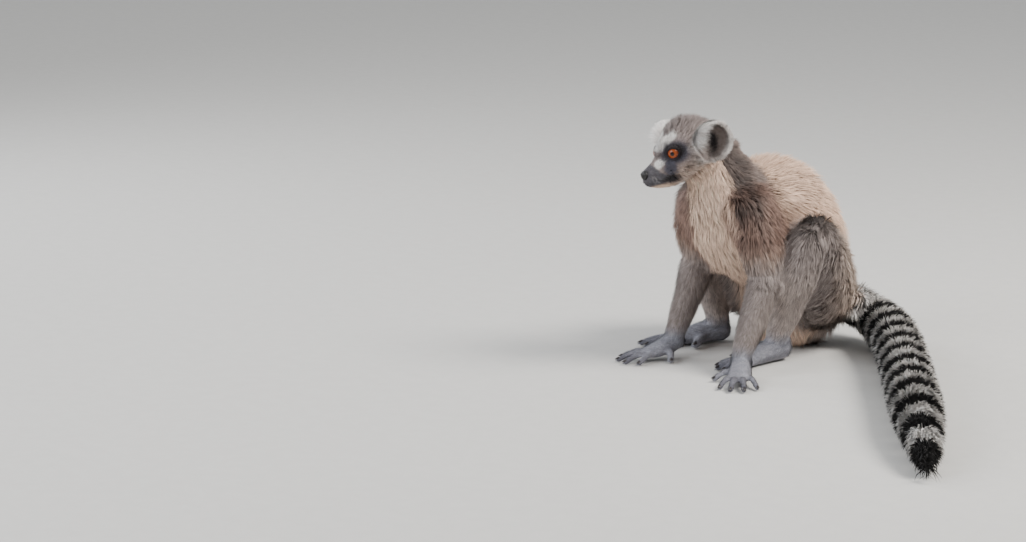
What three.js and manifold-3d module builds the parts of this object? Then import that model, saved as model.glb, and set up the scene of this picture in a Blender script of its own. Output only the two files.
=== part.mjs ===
// A ring-tailed lemur, life size, sitting hunched on a level floor with both hands set down in front of it.
// Millimetres, +Z up. The lemur faces -Y, its left side is towards +X, and the origin is on the floor
// in the middle of the flat that it sits on. Each solid reaches out to the tips of the coat.
import * as THREE from "three";
import { mergeVertices } from "three/addons/utils/BufferGeometryUtils.js";
import Module from "manifold-3d";

const wasm = await Module();
wasm.setup();

// ---------- driving sizes ----------

const GAP = 0.3; // the cut between two neighbouring parts
const LEFT = 1;
const RIGHT = -1;

const HEAD_CENTRE = [-11, 160, 213.5]; // midway between the ears, a little above the level of the mouth
const HEAD_TURN = 15; // degrees, towards its right
const HEAD_NOD = 12; // degrees, nose down
const HEAD_ROLL = 8; // degrees, its left side up
const NOSE_TIP = 47; // ahead of the head's centre
const SKULL_BACK = -30;

const EYE_RADIUS = 7.2;
const EYE = [14.3, 13.6, 2.6];
const EAR = [42, -15.5, 6.5];
const EAR_HALF = { high: 23, long: 18.5, thick: 12 };
const EAR_FACING = 27; // degrees, from straight out towards the front
const EAR_LEAN = 33; // degrees, tips outwards
const EAR_RIM = 3.5;

const SHOULDER_UP = 162;
const NECK_STARTS = 0.665; // share of the way from the rump to the skull

const TAIL_LENGTH = 590;
const TAIL_RADIUS = 28;
const TAIL_PARTS = 5;
const TAIL_ROOT = [0, -42, 40];
const TAIL_END_HEADING = 47; // degrees, from straight out to the left towards the front
const TAIL_TURN = 87; // degrees between the root's heading and the tip's
const TAIL_TURNS_EARLY = 10; // the higher, the nearer to the root the tail makes its turn

// ---------- geometry helpers ----------

// A place on the animal: to its left, ahead of the origin and up.
const at = (left, ahead, up) => new THREE.Vector3(left, -ahead, up);

const { degToRad, lerp, smoothstep } = THREE.MathUtils;

// A closed three.js geometry as a solid that can be cut and joined.
function solidOf(geometry) {
  geometry.deleteAttribute("normal");
  geometry.deleteAttribute("uv");
  const merged = mergeVertices(geometry, 1e-4);
  return new wasm.Manifold(
    new wasm.Mesh({
      numProp: 3,
      vertProperties: merged.attributes.position.array,
      triVerts: new Uint32Array(merged.index.array),
    }),
  );
}

const joined = (solids) => solids.reduce((whole, next) => whole.add(next));

// The rows of a drawn-out sphere: how far along the path each lies, its size, and how far it is pushed on.
function rowsAlong(span, rings, ends, capRings) {
  const cap = (t, bulge, sign) =>
    Array.from({ length: bulge ? capRings : 1 }, (_, k) => {
      const turn = ((Math.PI / 2) * k) / capRings;
      return { t, size: Math.sin(turn), push: sign * bulge * Math.cos(turn) };
    });
  const whole = (_, k) => ({ t: lerp(...span, k / rings), size: 1, push: 0 });
  const body = Array.from({ length: rings + 1 }, whole);
  return [...cap(span[0], ends[0], -1), ...body, ...cap(span[1], ends[1], 1).reverse()];
}

const EASE = 0.11; // share of a path over which its rows turn through a bend, so that they never cross

// A stretch of the body along a smooth path, made by drawing a sphere out over it. Each station is
// [left, ahead, up, half width, half depth]: the width lies along `side` and the depth square to it.
// `ends` says how far each end bulges, in half widths, and 0 makes it flat. Its rows stand square to the
// path, or to `facing` where that is given. `extra` thickens it all over.
function flesh(shape, extra = 0) {
  const { stations, side = at(1, 0, 0), around = 16, rings = 8, capRings = 3, frame } = shape;
  const { span = [0, 1], ends = [0.7, 0.7] } = shape;
  const path = new THREE.CatmullRomCurve3(stations.map(([left, ahead, up]) => at(left, ahead, up)));
  const halves = stations.map(([, , , width, depth]) => new THREE.Vector2(width, depth));
  const girth = new THREE.SplineCurve(halves);
  const rows = rowsAlong(span, rings, ends, capRings);
  const geometry = new THREE.SphereGeometry(1, around, rows.length - 1);
  rows.forEach(({ t, size, push }, row) => {
    const chord = path.getPoint(Math.min(t + EASE, 1)).sub(path.getPoint(Math.max(t - EASE, 0)));
    const along = shape.facing ?? chord.normalize();
    const across = side.clone().addScaledVector(along, -side.dot(along)).normalize();
    const back = along.clone().cross(across);
    const half = girth.getPoint(t).addScalar(extra);
    const centre = path.getPoint(t).addScaledVector(along, push * half.x);
    for (let k = 0; k <= around; k++) {
      const turn = (2 * Math.PI * (k % around)) / around;
      const point = centre.clone();
      point.addScaledVector(across, half.x * size * Math.cos(turn));
      point.addScaledVector(back, -half.y * size * Math.sin(turn));
      geometry.attributes.position.setXYZ(row * (around + 1) + k, ...point);
    }
  });
  if (frame) geometry.applyMatrix4(frame);
  return solidOf(geometry);
}

// An ellipsoid of the given half sizes, turned about its own centre, in a frame.
function ellipsoid({ centre, half, turn = [0, 0, 0], around = 16, frame }, extra = 0) {
  const geometry = new THREE.SphereGeometry(1, around, Math.round(around * 0.6));
  geometry.scale(...half.map((size) => size + extra));
  geometry.applyMatrix4(new THREE.Matrix4().makeRotationFromEuler(new THREE.Euler(...turn.map(degToRad))));
  geometry.translate(...centre);
  if (frame) geometry.applyMatrix4(frame);
  return solidOf(geometry);
}

// ---------- head ----------

const headTurn = new THREE.Euler(...[HEAD_NOD, -HEAD_ROLL, -HEAD_TURN].map(degToRad), "ZXY");
const headFrame = new THREE.Matrix4().makeRotationFromEuler(headTurn).setPosition(at(...HEAD_CENTRE));
const inHead = (side, [left, ahead, up]) => at(side * left, ahead, up);

const skull = {
  frame: headFrame,
  facing: at(0, 1, 0),
  stations: [
    [0, SKULL_BACK, 2, 25, 24],
    [0, -14, 3.5, 33, 29.5],
    [0, 2, 0.5, 30.5, 28.5],
    [0, 14, -5.5, 19.5, 25],
    [0, 25, -13, 13.5, 17],
    [0, 34, -15, 10.5, 12.5],
    [0, NOSE_TIP - 5, -15, 8.5, 9],
  ],
  around: 16,
  rings: 12,
  ends: [0.5, 0.45],
};

// The ring of bone round the eye.
const orbit = (side) => ({
  frame: headFrame,
  centre: inHead(side, [13, 8.5, 2]),
  half: [9.5, 8, 10.5],
  around: 9,
});

const headOf = (extra) =>
  joined([
    flesh(skull, extra),
    ...[LEFT, RIGHT].map((side) => ellipsoid(orbit(side), extra)),
  ]);

const eye = (side) => ({
  frame: headFrame,
  centre: inHead(side, EYE),
  half: [EYE_RADIUS, EYE_RADIUS, EYE_RADIUS],
  around: 9,
});

const nose = { frame: headFrame, centre: at(0, NOSE_TIP - 3.4, -11.5), half: [5.5, 4, 4.5], around: 7 };

// A broad upright ear, hollowed from the front.
function ear(side, extra = 0) {
  const shell = { frame: headFrame, turn: [-12, side * EAR_LEAN, side * -EAR_FACING], around: 11 };
  const { thick, long, high } = EAR_HALF;
  const centre = inHead(side, EAR);
  const hollow = inHead(side, [EAR[0] + 2 * EAR_RIM, EAR[1] + EAR_RIM, EAR[2]]);
  return ellipsoid({ ...shell, centre, half: [thick, long, high] }, extra).subtract(
    ellipsoid({ ...shell, centre: hollow, half: [thick, long - EAR_RIM, high - EAR_RIM] }),
  );
}

// ---------- trunk, neck and tail ----------

// From the rump to the back of the skull.
const spine = {
  stations: [
    [0, 2, 42, 56, 57],
    [0, 8, 92, 65, 64],
    [0, 42, 131, 67, 71],
    [0, 86, 145, 60, 59],
    [-3, 115, 170, 43, 46],
    [-5, 120, 190, 32, 39],
    [-9, 124, 214, 28, 41],
  ],
  around: 20,
};
const trunk = { ...spine, span: [0, NECK_STARTS], ends: [0.85, 0], rings: 10 };
const neck = { ...spine, span: [NECK_STARTS + 0.001, 1], ends: [0, 0.4], rings: 5, capRings: 2 };

// The tail leaves the rump backwards, comes down to the floor and sweeps round to the left and forwards.
function tailStations(steps) {
  const place = new THREE.Vector2(TAIL_ROOT[0], TAIL_ROOT[1]);
  const step = TAIL_LENGTH / steps;
  return Array.from({ length: steps + 1 }, (_, k) => {
    const share = k / steps;
    const thin = 0.2 * (1 - smoothstep(share, 0, 0.22)) + 0.5 * Math.max(0, (share - 0.7) / 0.3) ** 2;
    const radius = TAIL_RADIUS * (1 - thin);
    const up = radius - 0.7 + (TAIL_ROOT[2] - 0.8 * TAIL_RADIUS) * (1 - smoothstep(share, 0, 0.2));
    const station = [place.x, place.y, up, radius, radius];
    const heading = degToRad(TAIL_END_HEADING - TAIL_TURN * (1 - (k + 0.5) / steps) ** TAIL_TURNS_EARLY);
    place.add(new THREE.Vector2(Math.cos(heading), Math.sin(heading)).multiplyScalar(step));
    return station;
  });
}
const tail = { stations: tailStations(20), side: at(0, 0, 1), around: 14, rings: 5 };
const tailPart = (number) => ({
  ...tail,
  span: [number / TAIL_PARTS + (number ? 0.0006 : 0), (number + 1) / TAIL_PARTS],
  ends: [number ? 0 : 0.6, number < TAIL_PARTS - 1 ? 0 : 1.1],
});

// ---------- hands and feet ----------

// `out` and `aim` count towards the little digit, across the palm and in degrees. `from` is the digit's
// root, measured from the wrist or the heel.
const FINGERS = [
  { out: -8, from: 10, aim: -58, long: 22, thick: 4 },
  { out: -8, from: 29, aim: -20, long: 28, thick: 3.5 },
  { out: -2.6, from: 32, aim: -6, long: 33, thick: 3.7 },
  { out: 3.4, from: 31, aim: 7, long: 34, thick: 3.7 },
  { out: 8.8, from: 26, aim: 23, long: 29, thick: 3.4 },
];
const TOES = [
  { out: -9, from: 27, aim: -40, long: 28, thick: 5.2 },
  { out: -7, from: 58, aim: -11, long: 26, thick: 3.9 },
  { out: -1.2, from: 61, aim: -2, long: 31, thick: 4.1 },
  { out: 4.8, from: 60, aim: 6, long: 34, thick: 4.2 },
  { out: 10, from: 55, aim: 16, long: 28, thick: 3.9 },
];
const palm = [
  [0, -3, 18, 10, 11],
  [0, 9, 13.5, 11, 10],
  [0, 20, 10, 12.5, 8],
  [0, 29, 8.2, 12.5, 6.4],
];
const sole = [
  [0, 4, 13, 12, 13.6],
  [0, 18, 12, 11.5, 12.6],
  [0, 40, 9, 13, 9.6],
  [0, 57, 7, 13, 7.6],
];

// A digit that rises from its root, arches and comes down on its pad.
function digitStations(side, { out, from, aim, long, thick }, arch) {
  const turn = degToRad(aim);
  const reached = (reach, up, half) => [
    side * (out + Math.sin(turn) * reach),
    from + Math.cos(turn) * reach,
    up,
    half,
    half,
  ];
  return [
    reached(-6, thick + arch * 0.5, thick),
    reached(long * 0.35, thick + arch, thick),
    reached(long * 0.72, thick + arch * 0.35, thick * 0.92),
    reached(long - thick * 0.7, thick * 0.8 - 0.5, thick * 0.85),
  ];
}

// A hand or a foot, pointing `heading` degrees outwards from straight ahead.
function extremity({ side, spot, heading, base, digits, arch }, extra = 0) {
  const frame = new THREE.Matrix4()
    .makeRotationZ(degToRad(side * heading))
    .setPosition(side * spot[0], -spot[1], 0);
  const digitLook = { frame, around: 6, rings: 3, ends: [0.5, 0.8], capRings: 2 };
  return joined([
    flesh({ frame, stations: base, around: 8, rings: 4, ends: [0.7, 0.5], capRings: 2 }, extra),
    ...digits.map((digit) => flesh({ ...digitLook, stations: digitStations(side, digit, arch) }, extra)),
  ]);
}

// ---------- arms ----------

const ARMS = {
  [LEFT]: { shoulder: [45, 110, SHOULDER_UP], elbow: [59, 108, 90], wrist: [72, 157, 23], heading: 38 },
  [RIGHT]: { shoulder: [41, 100, SHOULDER_UP], elbow: [46, 91, 92], wrist: [36, 137, 23], heading: 13 },
};
const ELBOW_CUT = 0.52; // share of the way from the shoulder to the wrist

const toSide = (side, [left, ahead, up], ...half) => [side * left, ahead, up, ...half];
const between = (a, b, share) => a.map((value, k) => lerp(value, b[k], share));

function arm(side) {
  const { shoulder, elbow, wrist } = ARMS[side];
  return {
    side: at(0, 1, 0),
    stations: [
      toSide(side, between(shoulder, [0, shoulder[1], SHOULDER_UP + 12], 0.3), 34, 25),
      toSide(side, between(shoulder, elbow, 0.4), 32, 22),
      toSide(side, between(shoulder, elbow, 0.78), 26, 20),
      toSide(side, elbow, 20.5, 18),
      toSide(side, between(elbow, wrist, 0.35), 18.5, 16.5),
      toSide(side, between(elbow, wrist, 0.75), 13.5, 12.5),
      toSide(side, wrist, 10.5, 10.5),
    ],
    around: 12,
  };
}
const upperArm = (side) => ({ ...arm(side), span: [0, ELBOW_CUT], ends: [0.5, 0], rings: 6 });
const forearm = (side) => ({
  ...arm(side),
  span: [ELBOW_CUT + 0.002, 1],
  ends: [0, 0.6],
  rings: 5,
  capRings: 2,
});
const hand = (side) => ({
  side,
  spot: ARMS[side].wrist,
  heading: ARMS[side].heading,
  base: palm,
  digits: FINGERS,
  arch: 5,
});

// ---------- legs ----------

const LEGS = {
  [LEFT]: { hip: [38, 6, 52], knee: [84, 68, 138], heel: [46, 64, 0], heading: -4 },
  [RIGHT]: { hip: [38, 6, 52], knee: [77, 60, 136], heel: [50, 46, 0], heading: 22 },
};

function thigh(side) {
  const { hip, knee } = LEGS[side];
  return {
    side: at(0, 1, 0),
    stations: [
      toSide(side, hip, 44, 38),
      toSide(side, between(hip, knee, 0.45), 42, 32),
      toSide(side, between(hip, knee, 0.85), 29, 24),
      toSide(side, knee, 23, 20),
    ],
    around: 14,
    rings: 6,
    ends: [0.5, 0.75],
  };
}

function shank(side) {
  const { knee, heel } = LEGS[side];
  const ankle = [heel[0], heel[1] + 12, 25];
  const calf = between(knee, ankle, 0.4);
  return {
    side: at(0, 1, 0),
    stations: [
      toSide(side, [knee[0], knee[1] + 5, knee[2] - 6], 22, 19),
      toSide(side, [calf[0] + 3, calf[1] + 4, calf[2]], 24, 20),
      toSide(side, between(knee, ankle, 0.75), 18, 15),
      toSide(side, ankle, 12.5, 12),
    ],
    around: 10,
    rings: 6,
    ends: [0.8, 0.6],
    capRings: 2,
  };
}

const foot = (side) => ({
  side,
  spot: LEGS[side].heel,
  heading: LEGS[side].heading,
  base: sole,
  digits: TOES,
  arch: 3,
});

// ---------- the parts, in the order in which they cut one another ----------

const coat = { roughness: 0.95, metalness: 0 };
const pair = (name, make, look) =>
  [LEFT, RIGHT].map((side) => ({
    name: `${name}_${side === LEFT ? "left" : "right"}`,
    make: (extra) => make(side, extra),
    look,
  }));

const parts = [
  ...pair("eye", (side, extra) => ellipsoid(eye(side), extra), { color: 0x8a3c10, roughness: 0.15 }),
  { name: "nose", make: (extra) => ellipsoid(nose, extra), look: { color: 0x1d1b1d, roughness: 0.45 } },
  { name: "head", make: headOf, look: { ...coat, color: 0x8f8780 } },
  ...pair("ear", ear, { ...coat, color: 0xd9d2c8 }),
  { name: "trunk", make: (extra) => flesh(trunk, extra), look: { ...coat, color: 0x9a8676 } },
  { name: "neck", make: (extra) => flesh(neck, extra), look: { ...coat, color: 0xa79a8e } },
  ...pair("hand", (side, extra) => extremity(hand(side), extra), { ...coat, color: 0x8d929b }),
  ...pair("forearm", (side, extra) => flesh(forearm(side), extra), { ...coat, color: 0x85807c }),
  ...pair("upper_arm", (side, extra) => flesh(upperArm(side), extra), { ...coat, color: 0x8c8078 }),
  ...pair("foot", (side, extra) => extremity(foot(side), extra), { ...coat, color: 0x8d929b }),
  ...pair("thigh", (side, extra) => flesh(thigh(side), extra), { ...coat, color: 0x96918b }),
  ...pair("shank", (side, extra) => flesh(shank(side), extra), { ...coat, color: 0x96918b }),
  ...Array.from({ length: TAIL_PARTS }, (_, number) => ({
    name: `tail_${number + 1}`,
    make: (extra) => flesh(tailPart(number), extra),
    look: { ...coat, color: number % 2 ? 0x3a3838 : 0xc9c6c2 },
  })),
];

const FLOOR_DEPTH = 60;
const floorGeometry = new THREE.BoxGeometry(2000, 2000, FLOOR_DEPTH);
floorGeometry.translate(0, 0, -FLOOR_DEPTH / 2);
const floor = solidOf(floorGeometry);

// The largest piece of a solid, without the slivers that a cut leaves beyond its neighbour.
const larger = (a, b) => (b.volume() > a.volume() ? b : a);
const largest = (solid) => solid.decompose().reduce(larger);

const lemur = new THREE.Group();
lemur.name = "lemur";
const placed = [];
for (const { name, make, look } of parts) {
  const solid = largest(placed.reduce((left, grown) => left.subtract(grown), make(0).subtract(floor)));
  placed.push(make(GAP));
  const { vertProperties, triVerts } = solid.getMesh();
  const geometry = new THREE.BufferGeometry()
    .setAttribute("position", new THREE.BufferAttribute(new Float32Array(vertProperties), 3))
    .setIndex(new THREE.BufferAttribute(new Uint32Array(triVerts), 1));
  geometry.computeVertexNormals();
  const mesh = new THREE.Mesh(geometry, new THREE.MeshStandardMaterial(look));
  mesh.name = name;
  lemur.add(mesh);
}

export default lemur;
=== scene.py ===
from math import atan, cos, pi, radians, sin

import bmesh
import bpy
import numpy as np
from mathutils import Matrix, Vector
from mathutils.bvhtree import BVHTree
from mathutils.kdtree import KDTree


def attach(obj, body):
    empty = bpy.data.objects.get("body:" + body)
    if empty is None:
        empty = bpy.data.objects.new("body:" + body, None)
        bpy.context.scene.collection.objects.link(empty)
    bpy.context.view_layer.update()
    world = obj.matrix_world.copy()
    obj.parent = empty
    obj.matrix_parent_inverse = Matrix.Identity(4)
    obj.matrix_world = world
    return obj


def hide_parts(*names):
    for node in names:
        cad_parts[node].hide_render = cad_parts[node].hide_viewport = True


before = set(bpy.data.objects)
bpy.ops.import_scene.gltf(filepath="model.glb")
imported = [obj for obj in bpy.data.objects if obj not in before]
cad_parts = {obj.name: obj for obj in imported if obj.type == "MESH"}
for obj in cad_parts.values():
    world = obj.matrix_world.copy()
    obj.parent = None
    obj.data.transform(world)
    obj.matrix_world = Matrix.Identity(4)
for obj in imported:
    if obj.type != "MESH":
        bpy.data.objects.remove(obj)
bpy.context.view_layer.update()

# ---------- the skin ----------
# The body under the coat: one closed skin over head, neck, trunk, limbs and tail. It lies inside
# the solids by the depth of the coat that grows on it, and is bare only at the lids, lips and pads.

MM = 0.001
LEFT, RIGHT = 1, -1
SIDES = {"left": LEFT, "right": RIGHT}

HEAD_CENTRE = np.array([-11, -160, 213.5]) * MM
HEAD_TURN, HEAD_NOD, HEAD_ROLL = 15, 12, 8  # degrees to its right, nose down and left side up


def turned(*steps):
    """A turn made of steps, each an axis and its degrees; the last step comes first."""
    whole = Matrix.Identity(3)
    for axis, degrees in steps:
        whole = whole @ Matrix.Rotation(radians(degrees), 3, axis)
    return np.array(whole)


# rows: the head's own left, ahead and up
HEAD_AXES = (turned(("Z", -HEAD_TURN), ("X", HEAD_NOD), ("Y", -HEAD_ROLL)) * [1, -1, 1]).T
EYE = np.array([13.5, 12.8, 2.6])
EYE_RADIUS = 7.0

PAIRED = ["ear", "hand", "forearm", "upper_arm", "foot", "thigh", "shank"]
FLESH = ["head", "neck", "trunk"]
FLESH += [f"{part}_{side}" for part in PAIRED for side in SIDES]
FLESH += [f"tail_{number}" for number in range(1, 6)]
REGIONS = ["head", "neck", "trunk", "tail"] + PAIRED
SPINE = np.array([[0, 2, 42], [0, 8, 92], [0, 42, 131], [0, 86, 145], [-3, 115, 170], [-5, 120, 190],
                  [-9, 124, 214]], float)  # left, ahead and up, from the rump to the skull
COAT_DEPTH = {"head": 4.0, "neck": 10, "trunk": 15, "tail": 15, "ear": 0.7, "hand": 0.8,
              "forearm": 5, "upper_arm": 10, "foot": 0.9, "thigh": 13, "shank": 7}
LONG_COATED = ["neck", "trunk", "tail", "forearm", "upper_arm", "thigh", "shank"]
CUT_FILL = 0.6  # closes the cuts between the solids
VOXEL, FINE_VOXEL = 1.25 * MM, 1.15 * MM
SKIN_TRIANGLES = 128000


def in_head(places):
    """Left, ahead and up of the head's centre, in millimetres."""
    return (places - HEAD_CENTRE) @ HEAD_AXES.T / MM


def out_of_head(places):
    return HEAD_CENTRE + np.asarray(places, float) @ HEAD_AXES * MM


def left_ahead_up(places):
    return places * [1, -1, 1] / MM


def size_of(vectors):
    return np.linalg.norm(vectors, axis=1)


def dot(first, second):
    return np.einsum("ij,ij->i", first, second)


def unit(vectors):
    return vectors / np.maximum(np.linalg.norm(vectors, axis=-1, keepdims=True), 1e-9)


def ease(values, start, end):
    share = np.clip((values - start) / (end - start), 0, 1)
    return share * share * (3 - 2 * share)


def read(items, field, wide, kind=float):
    """One field of all the parts of a mesh, a row for each."""
    values = np.empty(len(items) * wide, kind)
    items.foreach_get(field, values)
    return values.reshape(-1, wide)


def points_of(mesh):
    return read(mesh.vertices, "co", 3)


def normals_of(mesh):
    return read(mesh.vertex_normals, "vector", 3, np.float32).astype(float)


def edges_of(mesh):
    return read(mesh.edges, "vertices", 2, np.int32)


def relaxed(values, edges, share, times):
    """Values at the points, each drawn by its share towards the mean of its neighbours."""
    values = values.astype(float).copy()
    flat = values.ndim == 1
    values = values.reshape(len(values), -1)
    share = np.broadcast_to(np.asarray(share, float).reshape(-1, 1), (len(values), 1))
    ends, others = np.concatenate([edges, edges[:, ::-1]]).T
    count = np.maximum(np.bincount(ends, minlength=len(values)), 1)
    for _ in range(times):
        for column in range(values.shape[1]):
            total = np.bincount(ends, values[others, column], minlength=len(values))
            values[:, column] += share[:, 0] * (total / count - values[:, column])
    return values[:, 0] if flat else values


def put(mesh, places):
    mesh.vertices.foreach_set("co", places.astype(np.float32).ravel())
    mesh.update()


def finish_modifier(piece, kind, **settings):
    bpy.context.view_layer.objects.active = piece
    modifier = piece.modifiers.new(kind.title(), kind)
    for name, value in settings.items():
        setattr(modifier, name, value)
    bpy.ops.object.modifier_apply(modifier=modifier.name)


def select_none():
    bpy.ops.object.select_all(action="DESELECT")


def new_piece(name, mesh):
    piece = bpy.data.objects.new(name, mesh)
    bpy.context.scene.collection.objects.link(piece)
    return piece


EAR_INNER, EAR_MIDDLE = 29, 6.5  # how far out an ear starts, and the height of its middle
EAR_FOLD = {LEFT: (0.92, 1.0), RIGHT: (0.22, 0.74)}  # the lobe drawn up, and the rim drawn in

select_none()
body = bmesh.new()
tagged, tag_faces, tag_labels = [], [], []
for label, node in enumerate(FLESH):
    copy = bmesh.new()
    copy.from_mesh(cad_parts[node].data)
    bmesh.ops.remove_doubles(copy, verts=copy.verts, dist=2e-6)
    copy.normal_update()
    start = len(tagged)
    tagged += [vertex.co.copy() for vertex in copy.verts]
    tag_faces += [[start + vertex.index for vertex in face.verts] for face in copy.faces]
    tag_labels += [label] * len(copy.faces)
    for vertex in copy.verts:
        vertex.co += vertex.normal * CUT_FILL * MM
    if node.startswith("ear"):
        side = SIDES[node.split("_")[1]]
        lobe, rim = EAR_FOLD[side]
        for vertex in copy.verts:
            out, ahead, up = in_head(np.array(vertex.co)) * [side, 1, 1]
            out = min(out, EAR_INNER + (out - EAR_INNER) * rim)
            up = max(up, EAR_MIDDLE + (up - EAR_MIDDLE) * lobe)
            vertex.co = out_of_head([side * out, ahead, up])
    part = bpy.data.meshes.new(node)
    copy.to_mesh(part)
    copy.free()
    body.from_mesh(part)
    bpy.data.meshes.remove(part)
skin_mesh = bpy.data.meshes.new("skin")
body.to_mesh(skin_mesh)
body.free()
skin = new_piece("skin", skin_mesh)
finish_modifier(skin, "REMESH", mode="VOXEL", voxel_size=VOXEL)

region_of_label = np.array([REGIONS.index("tail" if node.startswith("tail") else
                                          node.replace("_left", "").replace("_right", ""))
                            for node in FLESH])
tag_labels = np.array(tag_labels)


def labels_near(places, tree, labels):
    return np.array([labels[tree.find_nearest(place)[2]] for place in map(Vector, places)])


def among(regions, *names):
    return np.isin(regions, [REGIONS.index(name) for name in names])


places = points_of(skin.data)
edges = edges_of(skin.data)
node_tree = BVHTree.FromPolygons(tagged, tag_faces)
labels = labels_near(places, node_tree, tag_labels)
regions = region_of_label[labels]
depth = np.array([COAT_DEPTH[name] for name in REGIONS])[regions]
head = in_head(places)
muzzle_share = ease(head[:, 1], 16, 30)
from_eye = size_of(np.abs(head) * [1, 0, 0] + head * [0, 1, 1] - EYE)
near_paw = 1 - ease(places[:, 2], 28 * MM, 66 * MM)
for name, least in (("forearm", 1.6), ("shank", 2.2)):
    depth = np.where(among(regions, name), depth + (least - depth) * near_paw, depth)
head_depth = COAT_DEPTH["head"] + 0.4 * ease(-head[:, 1], 10, 30) - 0.8 * ease(head[:, 1], 0, 16)
head_depth = head_depth + (1.3 - head_depth) * (1 - ease(from_eye, 12, 22))
head_depth = head_depth + (0.9 - head_depth) * muzzle_share
on_head = among(regions, "head")
depth = np.where(on_head, head_depth, depth)
left, ahead, up = left_ahead_up(places).T
throat_hollow = ease(ahead, 136, 150) * np.exp(-((up - 172) / 22) ** 2)
far_hollow = ease(-left, 8, 26) * np.exp(-((up - 176) / 17) ** 2) * ease(ahead, 108, 130)
nape_rise = np.exp(-((up - 200) / 14) ** 2) * (1 - ease(ahead, 105, 125))
depth = depth - 4.5 * nape_rise * among(regions, "neck")
depth = depth + (5.5 * throat_hollow + 8 * far_hollow) * among(regions, "neck", "trunk")
coarse = among(regions, *LONG_COATED)
depth = relaxed(depth, edges, 0.5, 30)
softness = relaxed(np.where(coarse, 0.6, np.where(on_head, 0.45, 0.25)), edges, 0.5, 8)
places = relaxed(places, edges, softness, 14)
joints = np.zeros(len(places))
for centre, reach in (([-6, 110, 216], 27), ([43, 120, 180], 23), ([-40, 108, 178], 23)):
    away = size_of(left_ahead_up(places) - centre)
    joints = np.maximum(joints, 1 - ease(away, 0.45 * reach, reach))
places = relaxed(places, edges, 0.9 * joints, 110)  # the nape and shoulders run on without a step
put(skin.data, places)
places = places - normals_of(skin.data) * depth[:, None] * MM
places = relaxed(places, edges, softness, 4)
put(skin.data, places)
skin_faces = [tuple(polygon.vertices) for polygon in skin.data.polygons]
first_vertex = np.array([polygon[0] for polygon in skin_faces])
sunk_tree = BVHTree.FromPolygons([Vector(place) for place in places], skin_faces)
sunk_labels = labels[first_vertex]
lids = bmesh.new()
lids.from_mesh(skin.data)
for side in (LEFT, RIGHT):
    ball = bmesh.ops.create_icosphere(lids, subdivisions=4, radius=(EYE_RADIUS + 0.8) * MM)
    bmesh.ops.translate(lids, verts=ball["verts"], vec=out_of_head(EYE * [side, 1, 1]))
lids.to_mesh(skin.data)
lids.free()
finish_modifier(skin, "REMESH", mode="VOXEL", voxel_size=FINE_VOXEL)

# The body is coarser where long coat hides it, and finer round the eyes, nose and mouth.
places = points_of(skin.data)
labels = labels_near(places, sunk_tree, sunk_labels)
regions = region_of_label[labels]
hidden = skin.vertex_groups.new(name="hidden")
hidden.add(np.flatnonzero(among(regions, *LONG_COATED)).tolist(), 1.0, "REPLACE")
finish_modifier(skin, "DECIMATE", ratio=SKIN_TRIANGLES / (2 * len(skin.data.polygons)),
                vertex_group="hidden")
skin.vertex_groups.clear()

fine = bmesh.new()
fine.from_mesh(skin.data)
bmesh.ops.triangulate(fine, faces=fine.faces)
for reach in (17, 12):
    spots = in_head(np.array([vertex.co for vertex in fine.verts]))
    mirrored = spots * np.where(spots[:, :1] < 0, [-1, 1, 1], [1, 1, 1])
    close = size_of(mirrored - EYE) < reach
    if reach == 17:
        close |= (mirrored[:, 1] > 14) & (mirrored[:, 0] < 24) & (np.abs(spots[:, 2]) < 34)
    chosen = [edge for edge in fine.edges
              if close[edge.verts[0].index] and close[edge.verts[1].index]]
    bmesh.ops.subdivide_edges(fine, edges=chosen, cuts=1, use_grid_fill=True)
    bmesh.ops.triangulate(fine, faces=fine.faces)
    fine.verts.index_update()
fine.to_mesh(skin.data)
fine.free()

places = points_of(skin.data)
edges = edges_of(skin.data)
labels = labels_near(places, sunk_tree, sunk_labels)
weights = relaxed(np.eye(len(REGIONS))[region_of_label[labels]], edges, 0.6, 16)
weights /= weights.sum(axis=1, keepdims=True)
weight = {name: weights[:, column] for column, name in enumerate(REGIONS)}
head = in_head(places)
on_face = weight["head"] * ease(head[:, 1], 2, 12)
places = relaxed(places, edges, 0.5 * on_face, 6)

# Lids that wrap the ball of the eye, with the socket behind it.
GAZE_OUT, GAZE_UP = radians(43), radians(3)
GAZE = np.array([sin(GAZE_OUT) * cos(GAZE_UP), cos(GAZE_OUT) * cos(GAZE_UP), sin(GAZE_UP)])
LID_HALF_LONG, LID_HALF_HIGH = radians(57), radians(40)
LID_OVER_EYE = 0.75
SOCKET_RADIUS = 6.0


def round_eye(spots, side):
    """Distance and direction from the eye's centre, angle from its gaze, and the lids' opening."""
    offset = spots * [side, 1, 1] - EYE
    away = size_of(offset)
    outward = offset / away[:, None]
    across = unit(np.cross([0, 0, 1.0], GAZE))
    upward = np.cross(GAZE, across)
    angle = np.arccos(np.clip(outward @ GAZE, -1, 1))
    slant = np.arctan2(outward @ upward + 0.12 * (outward @ across), outward @ across)
    opening = 1 / np.sqrt((np.cos(slant) / LID_HALF_LONG) ** 2 + (np.sin(slant) / LID_HALF_HIGH) ** 2)
    return away, outward, angle, opening


head = in_head(places)
for side in (LEFT, RIGHT):
    away, outward, angle, opening = round_eye(head, side)
    near_eye = (away < 19) & (angle < radians(105)) & (weight["head"] > 0.4)
    past = angle - opening
    lid = EYE_RADIUS + LID_OVER_EYE
    radius = lid + (away - lid) * ease(past, radians(9), radians(42))
    radius += 0.45 * np.exp(-(past / radians(9) - 1) ** 2)
    radius = np.where(past < 0, SOCKET_RADIUS + (lid - SOCKET_RADIUS) * ease(past, -0.10, 0), radius)
    moved = EYE + outward * radius[:, None]
    head = np.where(near_eye[:, None], moved * [side, 1, 1], head)

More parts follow.
